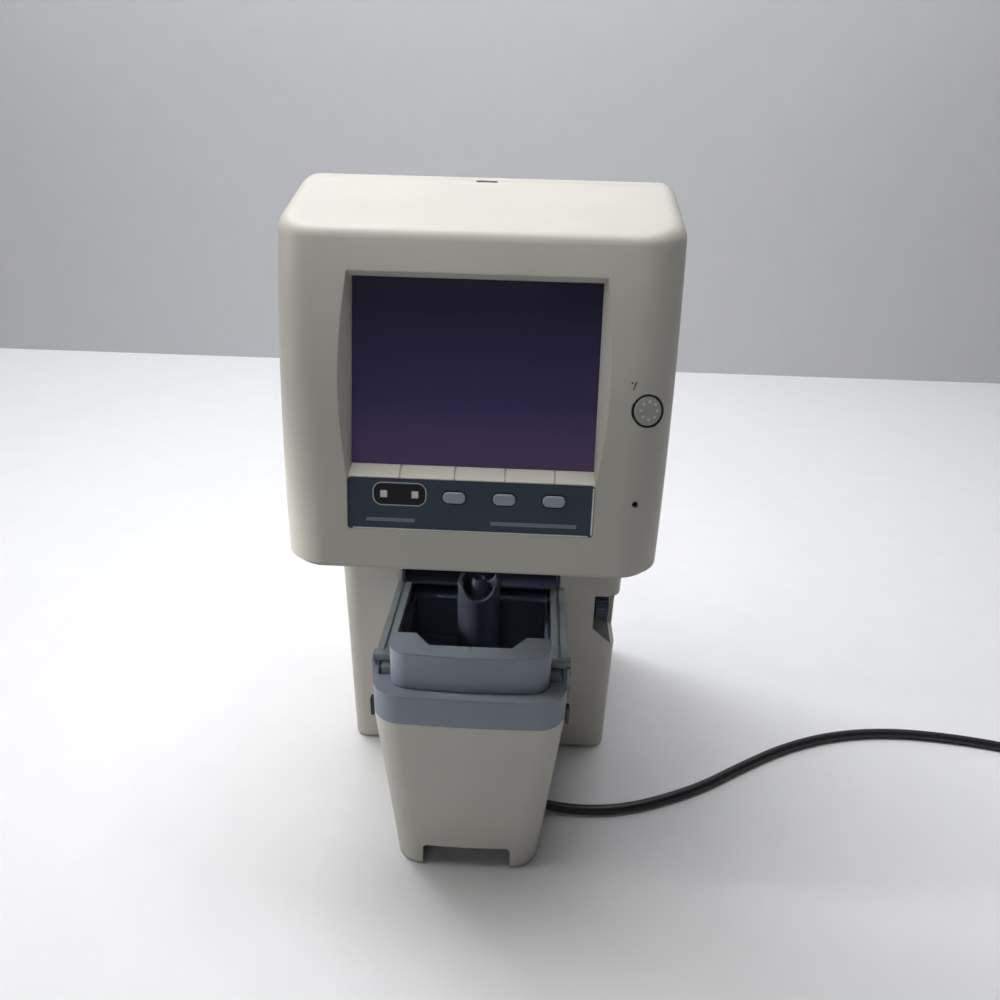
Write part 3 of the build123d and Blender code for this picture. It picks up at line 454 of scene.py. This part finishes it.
def make_recess_painted_shade():
    """A dark sheet of painted shade over the recess's inner wall, back, sloping floor and top, just inside
    the tower's own faces.
    """
    left, back, top = RECESS_X + SHADE_INSET, RECESS_BACK - SHADE_INSET, RECESS_TOP - SHADE_INSET
    low = RECESS_FLOOR + SHADE_INSET
    foot = low - RECESS_FALL * (RECESS_EDGE - RECESS_X)
    right, front = RECESS_EDGE, TOWER_FRONT
    corners = [
        (left, front, low), (left, front, top), (left, back, top), (left, back, low),
        (right, front, foot), (right, front, top), (right, back, top), (right, back, foot),
    ]
    mesh = bpy.data.meshes.new("painted_shade_sheet")
    faces = [(0, 3, 2, 1), (3, 7, 6, 2), (0, 4, 7, 3), (1, 2, 6, 5)]
    mesh.from_pydata([tuple(value * MM for value in corner) for corner in corners], [], faces)
    add_mesh("painted_shade_sheet", mesh, "root", painted_shade_recess)


# ---- Floor, backdrop and light ----
STAGE_HALF, STAGE_FRONT, STAGE_BACK, STAGE_HEIGHT = 4.0, -2.5, 1.14, 3.0
STAGE_GRAIN = {"grain": 0.001, "grain_depth": 0.02, "stain": 0.012}
WORLD_COLOUR, WORLD_STRENGTH = (0.92, 0.95, 1.0, 1), 0.035
# name, place, target, (width, height), power in watts, colour, spread in degrees
LIGHTS = [
    ("ceiling", (-0.45, -0.05, 1.48), (-0.12, -0.06, 0.0), (0.8, 0.8), 1.4, (1.0, 0.985, 0.96), 75),
    ("left_window", (-1.6, -0.05, 0.75), (0, -0.05, 0.15), (0.9, 0.7), 1.0, (1.0, 0.99, 0.97), 80),
    ("gap_light", (-0.6, -0.09, 0.45), (0, -0.07, 0.17), (0.12, 0.1), 0.06, (1.0, 0.99, 0.97), 16),
    ("brow_light", (-0.2, -1.0, 1.4), (0, -0.07, 0.43), (0.3, 0.2), 0.025, (1.0, 0.99, 0.97), 14),
    ("front_fill", (-0.3, -1.5, 1.2), (0, -0.1, 0.15), (0.8, 0.5), 0.22, (1.0, 0.99, 0.98), 60),
    ("wall_light", (-0.5, 0.6, 2.2), (0.0, 1.9, 0.4), (2.4, 0.6), 60, (0.97, 0.98, 1.0), 180),
]


def make_stage():
    half, front, back, height = STAGE_HALF, STAGE_FRONT, STAGE_BACK, STAGE_HEIGHT
    floor = ((-half, front, 0), (half, front, 0), (half, back, 0), (-half, back, 0))
    wall = ((-half, back, 0), (half, back, 0), (half, back, height), (-half, back, height))
    floor_material = surface("floor_white", (0.76, 0.76, 0.77), 0.55, **STAGE_GRAIN)
    wall_material = surface("wall_grey", (0.66, 0.66, 0.68), 0.8, **STAGE_GRAIN)
    for name, corners, material in (("floor", floor, floor_material), ("wall", wall, wall_material)):
        mesh = bpy.data.meshes.new(name)
        mesh.from_pydata(corners, [], [(0, 1, 2, 3)])
        piece = bpy.data.objects.new(name, mesh)
        bpy.context.scene.collection.objects.link(piece)
        dress(piece, material)


def area_light(name, place, target, size, power, colour, spread):
    data = bpy.data.lights.new(name, "AREA")
    data.shape = "RECTANGLE"
    data.size, data.size_y = size
    data.energy = power
    data.color = colour
    data.spread = radians(spread)
    light = bpy.data.objects.new(name, data)
    light.location = place
    light.rotation_euler = (Vector(target) - Vector(place)).to_track_quat("-Z", "Y").to_euler()
    bpy.context.scene.collection.objects.link(light)


def make_light():
    world = bpy.data.worlds.new("studio")
    bpy.context.scene.world = world
    world.use_nodes = True
    background = world.node_tree.nodes["Background"]
    background.inputs["Color"].default_value = WORLD_COLOUR
    background.inputs["Strength"].default_value = WORLD_STRENGTH
    for light in LIGHTS:
        area_light(*light)


make_camera()
make_cord()
paint_cad_nodes()
make_panel_prints_and_highlights()
make_screen_cells()
make_button_trim()
make_button_mark()
make_recess_painted_shade()
make_stage()
make_light()
bpy.context.scene.view_settings.view_transform = "Standard"
